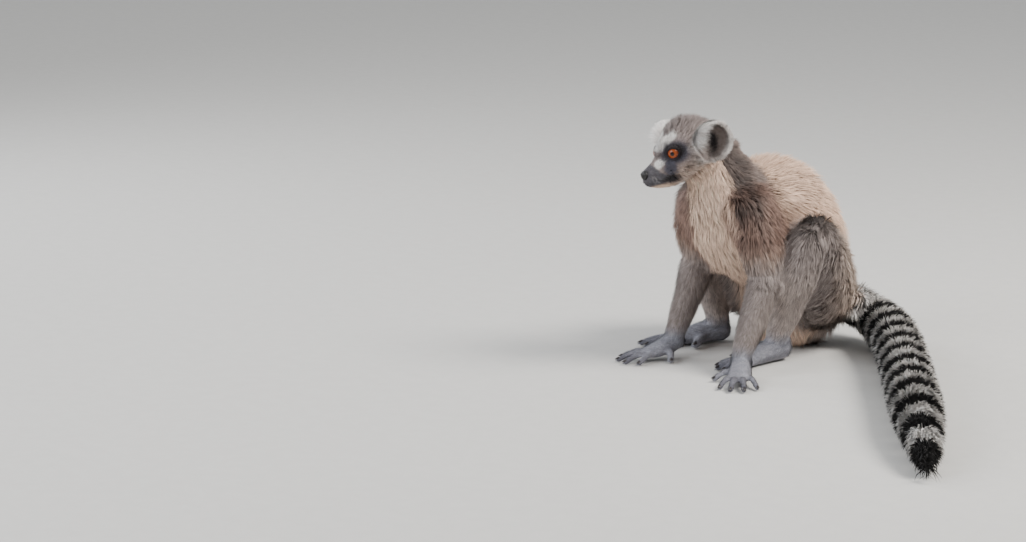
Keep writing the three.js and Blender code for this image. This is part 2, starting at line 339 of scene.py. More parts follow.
bridge_rise = 2.1 / (1 + (size_of((head - [0, 20, 7]) / [4.5, 8, 10]) ** 2) ** 3)
head = head + unit(head - [0, 0, -4]) * (bridge_rise * ease(weight["head"], 0.3, 0.7))[:, None]

# The mouth is a shut seam, with the upper lip a little proud of the lower one.
LIP_LINE = np.array([[0, 46.2, -17.4], [3.2, 45, -18.8], [5.3, 40.2, -22], [8.5, 31.5, -23],
                     [11.2, 22.4, -23.3], [13.2, 14, -23.7]])


def along_line(places, line):
    """Share of the way along a bent line, distance from it, its direction, and height above it."""
    lengths = size_of(np.diff(line, axis=0))
    before = np.concatenate([[0], np.cumsum(lengths)])
    best = np.full(len(places), 1e9)
    share, above = np.zeros((2, len(places)))
    way = np.zeros((len(places), 3))
    for number, (start, end) in enumerate(zip(line[:-1], line[1:])):
        run = end - start
        part = np.clip((places - start) @ run / (run @ run), 0, 1)
        gap = places - start - part[:, None] * run
        away = size_of(gap)
        closer = away < best
        best = np.where(closer, away, best)
        share = np.where(closer, (before[number] + part * lengths[number]) / before[-1], share)
        above = np.where(closer, gap[:, 2], above)
        way[closer] = run / lengths[number]
    return share, best, way, above


mirrored = head * np.where(head[:, :1] < 0, [-1, 1, 1], [1, 1, 1])
_, from_lips, _, above_lips = along_line(mirrored, LIP_LINE)
put(skin.data, out_of_head(head))
head_normals = normals_of(skin.data) @ HEAD_AXES.T
seam = 1.1 * np.exp(-(from_lips / 0.8) ** 2)
seam = seam - 0.35 * np.exp(-((from_lips - 1.6) / 0.9) ** 2) * (above_lips > 0)
seam = np.where(from_lips < 5, seam, 0) * ease(weight["head"], 0.3, 0.7)
head = head - head_normals * seam[:, None]
places = out_of_head(head)
places[:, 2] = np.maximum(places[:, 2], 0.1 * MM)
put(skin.data, places)


def linear(red, green, blue):
    share = np.array([red, green, blue], float) / 255
    return np.where(share <= 0.04045, share / 12.92, ((share + 0.055) / 1.055) ** 2.4)


# Colours of a ring-tailed lemur's coat, from its own brown back to its white face.
CREAM = linear(236, 204, 182)
WARM_TOP_LIT_BACK = linear(216, 183, 160)
GREY_BACK = linear(180, 165, 158)
BROWN_FLANK = linear(134, 108, 97)
SHOULDER_DARK = linear(64, 52, 48)
UPPER_ARM_WARM = linear(176, 150, 134)
LIMB_GREY = linear(160, 148, 144)
LIMB_PALE = linear(192, 178, 171)
LIMB_DARK = linear(92, 84, 81)
HAND_GREY = linear(166, 168, 180)
HAND_DARK = linear(98, 98, 110)
RUMP_PALE = linear(208, 188, 174)
EAR_PINK = linear(196, 178, 170)
NECK_GREY = linear(126, 112, 106)
CROWN_GREY = linear(146, 134, 131)
FACE_WHITE = linear(246, 242, 238)
TEMPLE_GREY = linear(166, 151, 145)
CHEEK_CREAM = linear(232, 207, 193)
EYE_PATCH = linear(38, 32, 33)
TEAR_GREY = linear(92, 91, 104)
MUZZLE_GREY = linear(92, 90, 96)
LIP_DARK = linear(44, 40, 42)
EAR_WHITE = linear(246, 240, 236)
EAR_INSIDE = linear(150, 136, 130)
TAIL_PALE = linear(196, 188, 182)
TAIL_WHITE = linear(240, 236, 232)
TAIL_BLACK = linear(30, 28, 28)


def mixed(base, colour, mask):
    return base + (np.asarray(colour) - base) * np.clip(mask, 0, 1)[:, None]


def near(spots, centre, reach, sharp=2.0):
    """1 at the centre of a spot, with a soft edge at its reach (one number, or one for each axis)."""
    away = size_of((spots - centre) / reach)
    return 1 / (1 + (away ** 2) ** (2 * sharp))


TAIL_LENGTH, TAIL_RADIUS = 590, 28
TAIL_STEPS = 20


def tail_line():
    """The middle of the tail in left, ahead and up: back from the rump, then round to the left."""
    place, line = np.array([0.0, -42]), []
    for step in range(TAIL_STEPS + 1):
        share = step / TAIL_STEPS
        thin = 0.2 * (1 - ease(share, 0, 0.22)) + 0.5 * max(0, (share - 0.7) / 0.3) ** 2
        radius = TAIL_RADIUS * (1 - thin)
        rise = (40 - 0.8 * TAIL_RADIUS) * (1 - ease(share, 0, 0.2))
        line.append([*place, radius - 0.7 + rise])
        heading = radians(47 - 87 * (1 - (step + 0.5) / TAIL_STEPS) ** 10)
        place = place + np.array([cos(heading), sin(heading)]) * TAIL_LENGTH / TAIL_STEPS
    return np.array(line)


def wave(places, length, seed):
    """Smooth noise from -1 to 1 over the body, with waves of about one length."""
    rng = np.random.default_rng(seed)
    total = np.zeros(len(places))
    for _ in range(7):
        way = unit(rng.normal(size=3)) * rng.uniform(0.7, 1.5) * 2 * pi / length
        total += np.sin(places @ way + rng.uniform(0, 2 * pi))
    return total / 4


LIMBS = {
    "upper_arm": {LEFT: ([45, 110, 162], [59, 108, 90]), RIGHT: ([-41, 100, 162], [-46, 91, 92])},
    "forearm": {LEFT: ([59, 108, 90], [72, 157, 23]), RIGHT: ([-46, 91, 92], [-36, 137, 23])},
    "thigh": {LEFT: ([38, 6, 52], [84, 68, 138]), RIGHT: ([-38, 6, 52], [-77, 60, 136])},
    "shank": {LEFT: ([84, 68, 138], [46, 76, 25]), RIGHT: ([-77, 60, 136], [-50, 58, 25])},
}
WRISTS = {LEFT: ([72, 157, 0], 38), RIGHT: ([-36, 137, 0], 13)}
HEELS = {LEFT: ([46, 64, 0], -4), RIGHT: ([-50, 46, 0], 22)}

spots = left_ahead_up(places)
head = in_head(places)
normals = normals_of(skin.data)
side = np.where(spots[:, 0] < 0, RIGHT, LEFT)
head_side = np.where(head[:, 0] < 0, RIGHT, LEFT)


def both(sides, ahead=1):
    """Factors that lay both sides' places over each other, on the left."""
    return np.stack([sides, np.full(len(sides), ahead), np.ones(len(sides))], axis=1)


def by_side(left_value, right_value):
    return np.where(side[:, None] > 0, left_value, right_value)


face = head * both(head_side)
body_side = spots * both(side)

spine_share, _, spine_way, _ = along_line(spots, SPINE)
spine_way = unit(relaxed(spine_way, edges, 0.6, 30))
under = unit(np.cross([-1, 0, 0], spine_way))
under *= np.sign(under[:, 1:2] + 1e-9)
lengths = size_of(np.diff(SPINE, axis=0))
stations = np.concatenate([[0], np.cumsum(lengths)]) / lengths.sum()
steps = np.linspace(0, 1, 200)
middle_spine = np.array([np.interp(spine_share, steps, np.interp(steps, stations, SPINE[:, axis]))
                         for axis in range(3)]).T
belly = dot(unit(spots - middle_spine), under)
ragged = 0.5 * wave(spots, 9, 3) + 0.5 * wave(spots, 24, 4)

# Trunk: cream over the hump, partly the coat's colour and partly painted top light, grey-brown on the nape,
# brown on the flank, dark on the shoulder.
ahead, up = spots[:, 1], spots[:, 2]
# Painted light: the back is paler and warmer higher up and further forward, partly the coat's own colour
# and partly painted top light; lower down it is grey.
trunk = mixed(WARM_TOP_LIT_BACK, GREY_BACK, 1 - ease(up + 0.35 * ahead, 70, 130))
trunk = mixed(trunk, NECK_GREY, ease(ahead + 5 * ragged, 72, 92) * ease(up, 150, 170))
flank = ease(body_side[:, 0] + 0.35 * (ahead - 66) + 4 * ragged, 40, 62) * ease(up, 50, 90)
trunk = mixed(trunk, BROWN_FLANK, flank)
bib_far = np.interp(up, [60, 87, 105, 125, 143, 162, 174, 190], [-42, -34, -25, -13, -5, -4, -8, -16])
bib_near = np.interp(up, [60, 93, 117, 139, 158, 176, 192, 210], [52, 56, 48, 47, 39, 28, 25, 26])
across = spots[:, 0] + 3 * ragged
bib = ease(across - bib_far, -3, 3) * (1 - ease(across - bib_near, -3, 3))
trunk = mixed(trunk, CREAM, ease(belly, 0.2, 0.42) * np.maximum(bib, 1 - ease(up, 40, 80)))
trunk = mixed(trunk, BROWN_FLANK, ease(belly, 0.2, 0.42) * (1 - bib) * ease(up, 60, 90))
neck = mixed(NECK_GREY, CREAM, ease(belly + 0.07 * ragged, 0.12, 0.32) * bib)
neck = mixed(neck, BROWN_FLANK, ease(belly, 0.1, 0.4) * (1 - bib) * (1 - ease(up, 178, 200)))
DARK_LINE = np.array([[21, 124, 199], [32, 120, 187], [47, 126, 172], [53, 134, 154],
                      [58, 131, 132]], float)
dark_share, dark_gap, _, _ = along_line(body_side, DARK_LINE)
dark = 1 - ease(dark_gap + 5 * ragged - 7 * (1 - ease(dark_share, 0, 0.4)), 8, 27)
dark = dark * (1 - 0.75 * ease(dark_share, 0.62, 1)) * np.clip(0.86 + 0.35 * ragged, 0, 1)

# Limbs: brown and grey, paler outside and below, dark over the knee, blue-grey at the paws.
arm = mixed(BROWN_FLANK, UPPER_ARM_WARM, 1 - ease(up + 4 * ragged, 98, 132))
arm = mixed(arm, LIMB_GREY, ease(-up + 9 * ragged, -126, -94))
arm = mixed(arm, CREAM, bib * ease(ahead, 128, 136) * ease(up, 96, 118))
outer = ease(body_side[:, 0] - 0.5 * ahead, -6, 22)
forearm = mixed(LIMB_GREY, LIMB_PALE, outer * (1 - ease(up + 6 * ragged, 60, 94)))
forearm = mixed(forearm, HAND_GREY, 1 - ease(up + 3 * ragged, 14, 36))
thigh = mixed(LIMB_GREY, LIMB_DARK, near(body_side, [89, 76, 149], [17, 18, 13]) * 0.95)
thigh = mixed(thigh, RUMP_PALE, 1 - ease(ahead - 0.25 * (up - 90) + 4 * ragged, 6, 50))
shank = mixed(LIMB_GREY, LIMB_DARK, near(body_side, [88, 82, 142], [15, 15, 15]) * 0.9)
shank = mixed(shank, LIMB_PALE, (1 - ease(up, 80, 115)) * 0.7)
shank = mixed(shank, HAND_GREY, 1 - ease(up + 3 * ragged, 14, 34))


def past_joint(ends):
    """Distance over the floor from the wrist or heel of the same side."""
    return size_of(spots[:, :2] - by_side(ends[LEFT][0][:2], ends[RIGHT][0][:2]))


hand = mixed(HAND_GREY, HAND_DARK, ease(past_joint(WRISTS) + 3 * ragged, 30, 66) * 0.75)
foot = mixed(HAND_GREY, HAND_DARK, ease(past_joint(HEELS) + 3 * ragged, 50, 100) * 0.75)

# Tail: pale at the root, then black and white rings, black at the tip.
tail_share, _, tail_way, _ = along_line(spots, tail_line())
tail_at = tail_share * TAIL_LENGTH
RING_PITCH, RING_BLACK, FIRST_RING = 47, 26, 40
BLACK_TIP = 0.955


def ringed(reach):
    """The tail's colours at a distance from its root."""
    ring = (reach - FIRST_RING) % RING_PITCH
    black = ease(ring, 0, 1.5) * (1 - ease(ring, RING_BLACK, RING_BLACK + 1.5))
    black = np.where(reach < FIRST_RING, 0, black)
    black = np.where(reach > BLACK_TIP * TAIL_LENGTH, 1, black)
    return mixed(mixed(TAIL_WHITE, TAIL_PALE, 1 - ease(reach, 30, 60)), TAIL_BLACK, black)


tail = ringed(tail_at)


# Head: white brows and cheeks round black eye patches, a dark muzzle and a grey crown.
def marked(base, marks):
    """A head with soft spots of colour, each with its centre, reach, sharpness and strength."""
    for spot_colour, centre, reach, sharp, strength in marks:
        base = mixed(base, spot_colour, near(face, centre, reach, sharp) * strength)
    return base


headed = marked(CROWN_GREY, (
    (TEMPLE_GREY, [29, 0, 2], [9, 12, 13], 2, 1), (CHEEK_CREAM, [18, 0, -22], [19, 22, 13], 2, 1),
    (EAR_WHITE, [31, -10, -13], [9, 14, 8], 2, 0.7)))
headed = mixed(headed, CREAM, ease(-head[:, 2] + 0.25 * head[:, 1], 27, 34))
headed = marked(headed, (
    (FACE_WHITE, [10.6, 10.4, 18.6], [5.6, 5.2, 4.6], 3, 1),
    (FACE_WHITE, [6.6, 15, 15], [6.4, 6.5, 5.6], 3, 1),
    (FACE_WHITE, [3, 20, 10], [5.5, 5.5, 4.5], 3, 1), (TEAR_GREY, [17.3, 14, 3], [14.5, 14.5, 10.8], 2, 1),
    (TEAR_GREY, [14.4, 21.5, -10], [5.6, 7, 8.6], 3, 0.95),
    (EYE_PATCH, [16.6, 14.2, 4.2], [11.2, 11.2, 8.6], 2, 0.95)))
muzzle_from = np.interp(head[:, 2], [-22, -19, -15, -12, -5, 0], [14, 18, 27, 31, 34, 36])
on_muzzle = ease(head[:, 1] - muzzle_from + 0.6 * ragged, -1.5, 1.5) * ease(head[:, 2], -25, -22.5)
headed = mixed(headed, MUZZLE_GREY, on_muzzle)
headed = marked(headed, (
    (FACE_WHITE, [6.8, 30, -5], [3.5, 3.4, 7.2], 3, 1), (LIP_DARK, [12.6, 23, -20.4], [5, 11, 3.6], 3, 0.9),
    (SHOULDER_DARK, [24.8, 5, -13.1], [4.5, 5, 2.4], 2, 0.8)))

# Ears: white outside, grey-brown in the hollow, and darkest at the opening, where the near black is painted
# shade.
EAR = np.array([42, -15.5, 6.5])
EAR_TURN = turned(("X", -12), ("Y", 33), ("Z", -27))
ear_own = ((face - EAR) * [1, -1, 1]) @ EAR_TURN  # outwards, backwards and up in the ear
ear_facing = ((normals @ HEAD_AXES.T) * both(head_side, -1)) @ EAR_TURN
ear_ragged = 1.5 * wave(head, 5, 31)
in_hollow = near(ear_own[:, 1:] + ear_ragged[:, None] * [0.5, 0.3], [2.5, 2.0], [10.5, 17.5], 3)
in_hollow = in_hollow * (ear_own[:, 0] < 9)
in_hollow = in_hollow * ease(ear_facing[:, 0] + 0.5 * ease(-ear_own[:, 0], 0, 4), -0.1, 0.2)
ears = mixed(EAR_WHITE, EAR_PINK, near(face, [35, -4, -3], [7, 8, 9]) * 0.8)
ears = mixed(ears, EAR_INSIDE, in_hollow)
# Painted shade: near black at the opening deep in the hollow.
ears = mixed(ears, EYE_PATCH, near(ear_own[:, 1:], [-2, -4], [5.5, 9], 2) * in_hollow)

by_region = {"head": headed, "neck": neck, "trunk": trunk, "tail": tail, "ear": ears, "hand": hand,
             "foot": foot, "forearm": forearm, "upper_arm": arm, "thigh": thigh, "shank": shank}
colour = sum(by_region[name] * weight[name][:, None] for name in REGIONS)
colour = mixed(colour, SHOULDER_DARK,
               dark * (1 - weight["head"] - weight["ear"]) * (1 - bib * ease(belly, 0.2, 0.45)))

mottle = 0.11 * wave(spots, 6, 21) + 0.07 * wave(spots, 14, 22)
patchy = sum(share * weight[name] for name, share in (
    ("thigh", 1), ("shank", 1), ("trunk", 0.6), ("head", 0.7), ("hand", 1), ("foot", 1)))
colour *= 1 + (mottle * patchy)[:, None]

# The lie of the coat: from the nose back over the head, down the body, and along each limb.
lie = np.zeros((len(spots), 3))


def toward(directions, share):
    lie[:] += unit(np.broadcast_to(directions, lie.shape)) * share[:, None]


ear_seam = near(face, [31, -11, 10], [7, 10, 20], 3)
occiput = ease(-head[:, 1], 12, 30) * weight["head"]
toward((head - [0, 46, -8]) @ HEAD_AXES, weight["head"] - occiput + weight["ear"] * ear_seam)
toward([0, 0.8, -1], occiput)
ear_way = unit(ear_own * [0.2, 1, 1] + [0, 0, 9]) + [0.45, 0, 0]
ear_front = ease(-ear_own[:, 1], 4, 12) * ease(ear_own[:, 0], -6, 2)
ear_way = ear_way + (np.array([0.55, 1.0, 0.35]) - ear_way) * ear_front[:, None]
ear_way = (ear_way @ EAR_TURN.T) * both(head_side, -1)
toward(ear_way @ HEAD_AXES, weight["ear"] * (1 - ear_seam))
flip = np.array([1, -1, 1])
toward(-spine_way * flip + [0, 0, -0.35], weight["neck"] * ease(belly, -0.3, 0.3))
toward([0, 1, -0.55], weight["neck"] * (1 - ease(belly, -0.3, 0.3)))
toward(-spine_way * flip + [0, 0, -0.5], weight["trunk"])
toward(tail_way * flip, weight["tail"])
for name, ends in LIMBS.items():
    runs = unit(np.array([np.subtract(*ends[s][::-1]) for s in (LEFT, RIGHT)]) * flip)
    if name == "thigh":
        runs = unit(runs * [1, 1, 0.2] + [0, 0, -0.55])
    toward(by_side(*runs), weight[name])
for name, ends in (("hand", WRISTS), ("foot", HEELS)):
    ways = [[s * sin(radians(ends[s][1])), -cos(radians(ends[s][1])), -0.15] for s in (LEFT, RIGHT)]
    toward(by_side(*ways), weight[name])
lie = relaxed(lie, edges, 0.6, 20)
swirl = np.stack([wave(spots, 30, 10 + axis) for axis in range(3)], axis=1)
lie += 0.28 * swirl * np.linalg.norm(lie, axis=1, keepdims=True)
lie = unit(lie - normals * dot(lie, normals)[:, None])

# length, width and lift of a tuft in millimetres, and tufts to each square millimetre
COAT = {
    "head": (8.5, 0.5, 5.6, 2.6), "ear": (7.0, 0.5, 3.4, 2.9), "neck": (18, 0.9, 11.5, 1.2),
    "trunk": (23, 1.05, 14.5, 0.6), "tail": (19, 1.0, 14.0, 0.82), "hand": (3.6, 0.36, 1.0, 1.8),
    "forearm": (10, 0.7, 4.6, 1.7), "upper_arm": (16, 1.0, 9.5, 0.62), "foot": (4.2, 0.45, 1.3, 1.7),
    "thigh": (18, 1.05, 12, 0.62), "shank": (12, 0.9, 6.4, 0.75),
}
wide = relaxed(weights, edges, 0.6, 45)
wide[:, REGIONS.index("ear")] = weight["ear"]
wide[:, REGIONS.index("head")] = weight["head"]
wide /= wide.sum(axis=1, keepdims=True)
coat = wide @ np.array([COAT[name] for name in REGIONS])


def drawn_to(values, mask):
    """Draws the tufts' length, width and lift to other values; None leaves one as it is."""
    for column, value in enumerate(values):
        if value is not None:
            coat[:, column] += (value - coat[:, column]) * mask


def cut_down(shares, mask, closer=0.0):
    """Takes a share off the tufts' length, width and lift, and may set them closer."""
    coat[:, :3] *= 1 - np.array(shares) * mask[:, None]
    coat[:, 3] *= 1 + closer * mask


muzzle = weight["head"] * ease(head[:, 1], 14, 30)
coat[:, 0] += 5 * ear_front * weight["ear"]
near_paw = (1 - ease(spots[:, 2], 26, 62)) * (weight["forearm"] + weight["shank"])
drawn_to((5, 0.5, 1.8), near_paw)
coat[:, 3] += 0.5 * near_paw
throat = ease(ahead, 138, 152) * np.exp(-((up - 172) / 22) ** 2) * (weight["neck"] + weight["trunk"])
coat[:, 2] *= 1 - 0.35 * throat
cut_down([0.3, 0.2, 0.6], ease(up, 198, 211) * weight["neck"], 0.5)
knee = near(body_side, [90, 76, 151], [22, 22, 16]) * (weight["thigh"] + weight["shank"])
cut_down([0.42, 0.3, 0.62], knee, 0.7)
crest = near(face, [14, -20, 24], [13, 15, 12]) * weight["head"]
coat[:, :3] += crest[:, None] * [3.5, 0.1, 2.0]
seam_share = ear_seam * (weight["head"] + weight["ear"])
coat[:, :3] += seam_share[:, None] * [2.0, 0.1, 1.2]
coat[:, 3] *= 1 + 0.6 * ear_seam * (weight["head"] + weight["ear"])
cut_down([0.3, 0, 0.65], ease(-ear_facing[:, 0], -0.1, 0.5) * weight["ear"])
from_eye = size_of(face - EYE)
short = np.maximum(muzzle, weight["head"] * (1 - ease(from_eye, 12, 24)))
drawn_to((2.2, 0.4, 0.8), short)
coat[:, 3] *= 1 + 1.2 * short
drawn_to((5.2, None, 3.2), near(face, [2, 19, 9], [7, 9, 11]) * weight["head"])
soles = ease(-normals[:, 2], 0.3, 0.8) * (spots[:, 2] < 12) * (weight["hand"] + weight["foot"])
coat[:, 3] *= 1 - np.clip(soles, 0, 1)
for eye_side in (LEFT, RIGHT):
    away, _, angle, opening = round_eye(head, eye_side)
    coat[:, 3] *= (away > 14) | (angle - opening > radians(10))  # none on the lids
coat[:, 3] *= 1 - ease(head[:, 1], 42, 44) * weight["head"] * (np.abs(head[:, 2] + 11.5) < 6)


def lay(mesh, name, kind, values):
    """Values at the points of a mesh, under a name that its material reads."""
    field = {"FLOAT": "value", "FLOAT_VECTOR": "vector", "FLOAT_COLOR": "color"}[kind]
    attribute = mesh.attributes.new(name, kind, "POINT")
    attribute.data.foreach_set(field, np.asarray(values, np.float32).ravel())


# Painted light: the skin at the seam between ear and head is painted pale pink, to lift the shade in the
# groove there.
seam_painted_light = mixed(colour, EAR_PINK, near(face, [31, -11, 10], [7, 12, 22], 3) * (1 - in_hollow))
# The skin's colour is lifted on the ears and head, so that the painted shade of the undercoat is weaker
# there.
undercoat = np.clip(seam_painted_light * (1 + 0.5 * (weight["ear"] + 0.5 * weight["head"]))[:, None], 0, 1)
lay(skin.data, "coat_colour", "FLOAT_COLOR", np.column_stack([undercoat, np.ones(len(colour))]))
bpy.context.view_layer.objects.active = skin
skin.select_set(True)
bpy.ops.object.shade_smooth()
bpy.ops.object.mode_set(mode="EDIT")
bpy.ops.mesh.select_all(action="SELECT")
bpy.ops.uv.smart_project(angle_limit=radians(66), island_margin=0.0)
bpy.ops.object.mode_set(mode="OBJECT")
select_none()
skin.data.uv_layers[0].name = "OFBake"


def simple_material(name, roughness, specular=0.3):
    material = bpy.data.materials.new(name)
    material.use_nodes = True
    tree = material.node_tree
    shader = tree.nodes["Principled BSDF"]
    shader.inputs["Roughness"].default_value = roughness
    shader.inputs["Specular IOR Level"].default_value = specular
    return material, tree, shader


def attribute_of(tree, name):
    node = tree.nodes.new("ShaderNodeAttribute")
    node.attribute_name = name
    return node


def times(tree, first, second):
    """One colour darkened by another, which may be plain."""
    mix = tree.nodes.new("ShaderNodeMix")
    mix.data_type, mix.blend_type = "RGBA", "MULTIPLY"
    mix.inputs["Factor"].default_value = 1.0
    tree.links.new(first, mix.inputs["A"])
    if isinstance(second, bpy.types.NodeSocket):
        tree.links.new(second, mix.inputs["B"])
    else:
        mix.inputs["B"].default_value = second
    return mix.outputs["Result"]


def mottled_group():
    """A colour broken up by fine noise, and the same noise as a bump."""
    group = bpy.data.node_groups.new("mottled", "ShaderNodeTree")
    for name, kind, value in (("Color", "NodeSocketColor", None), ("Scale", "NodeSocketFloat", 400),
                              ("Amount", "NodeSocketFloat", 0.2), ("Bump", "NodeSocketFloat", 0.3)):
        socket = group.interface.new_socket(name, in_out="INPUT", socket_type=kind)
        if value is not None:
            socket.default_value = value
    group.interface.new_socket("Color", in_out="OUTPUT", socket_type="NodeSocketColor")
    group.interface.new_socket("Normal", in_out="OUTPUT", socket_type="NodeSocketVector")
    made = {key: group.nodes.new(kind) for key, kind in (
        ("in", "NodeGroupInput"), ("out", "NodeGroupOutput"), ("place", "ShaderNodeTexCoord"),
        ("noise", "ShaderNodeTexNoise"), ("low", "ShaderNodeMath"), ("high", "ShaderNodeMath"),
        ("range", "ShaderNodeMapRange"), ("mix", "ShaderNodeMix"), ("bump", "ShaderNodeBump"))}
    made["noise"].inputs["Detail"].default_value = 4
    made["low"].operation, made["high"].operation = "SUBTRACT", "ADD"
    made["low"].inputs[0].default_value = made["high"].inputs[0].default_value = 1
    made["range"].inputs["From Min"].default_value = 0.3
    made["range"].inputs["From Max"].default_value = 0.7
    made["mix"].data_type, made["mix"].blend_type = "RGBA", "MULTIPLY"
    made["mix"].inputs["Factor"].default_value = 1
    made["bump"].inputs["Distance"].default_value = 0.0005
    for wire in ("place.Object > noise.Vector", "in.Scale > noise.Scale", "in.Amount > low.1",
                 "in.Amount > high.1", "noise.Fac > range.Value", "low.0 > range.To Min",
                 "high.0 > range.To Max", "in.Color > mix.A", "range.Result > mix.B",
                 "noise.Fac > bump.Height", "in.Bump > bump.Strength", "mix.Result > out.Color",
                 "bump.Normal > out.Normal"):
        (start, output), (end, taken) = (place.split(".") for place in wire.split(" > "))
        group.links.new(made[start].outputs[int(output) if output.isdigit() else output],
                        made[end].inputs[int(taken) if taken.isdigit() else taken])
    return group


MOTTLED = mottled_group()


def mottle_material(tree, shader, base, scale, amount, bumped):
    """Colour, and a fine relief where wanted, from the shared noise."""
    node = tree.nodes.new("ShaderNodeGroup")
    node.node_tree = MOTTLED
    if isinstance(base, bpy.types.NodeSocket):
        tree.links.new(base, node.inputs["Color"])
    else:
        node.inputs["Color"].default_value = (*base, 1)
    node.inputs["Scale"].default_value = scale
    node.inputs["Amount"].default_value = amount
    node.inputs["Bump"].default_value = bumped
    tree.links.new(node.outputs["Color"], shader.inputs["Base Color"])
    if bumped:
        tree.links.new(node.outputs["Normal"], shader.inputs["Normal"])


def plain_material(name, roughness, specular, base, scale, amount, bumped):
    """A finish of one mottled colour."""
    material, tree, shader = simple_material(name, roughness, specular)
    mottle_material(tree, shader, base, scale, amount, bumped)
    return material


# The skin stands for the undercoat between the tufts: the coat's colour darkened as painted shade deep in
# the fur, with a fine mottle and relief.
skin_material, tree, shader = simple_material("undercoat", 0.9, 0.15)
undercoat_in_painted_shade = times(tree, attribute_of(tree, "coat_colour").outputs["Color"], (0.66, 0.63, 0.61, 1))
mottle_material(tree, shader, undercoat_in_painted_shade, 900, 0.18, 0.5)
skin.data.materials.clear()
skin.data.materials.append(skin_material)
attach(skin, "root")
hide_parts(*FLESH)

# ---------- the coat ----------
# Tufts of hair rooted on the skin, each a thin three-sided lock that rises from its root, bends
# over and runs out to a point along the lie. Neighbours draw together at their tips.

skin.data.calc_loop_triangles()
corners = read(skin.data.loop_triangles, "vertices", 3, np.int32)
corner_loops = read(skin.data.loop_triangles, "loops", 3, np.int32)
unwrap = read(skin.data.uv_layers["OFBake"].data, "uv", 2, np.float32)
places = points_of(skin.data)
normals = normals_of(skin.data)
areas = size_of(np.cross(places[corners[:, 1]] - places[corners[:, 0]],
                                places[corners[:, 2]] - places[corners[:, 0]])) / 2 / MM ** 2
face_weight = {name: weight[name][corners].mean(axis=1) for name in REGIONS}
strongest = np.array(REGIONS)[np.argmax(np.stack([face_weight[n] for n in REGIONS]), axis=0)]
middles = spots[corners].mean(axis=1)

skin_points = KDTree(len(places))
for number, place in enumerate(places):
    skin_points.insert(place, number)
skin_points.balance()
PATCH = 0.0015
CLUMP_SHARE = 0.4
TUFTS_TO_A_LOCK = 14
TINT_STEP = 12.9898  # sets the tints of neighbouring locks apart


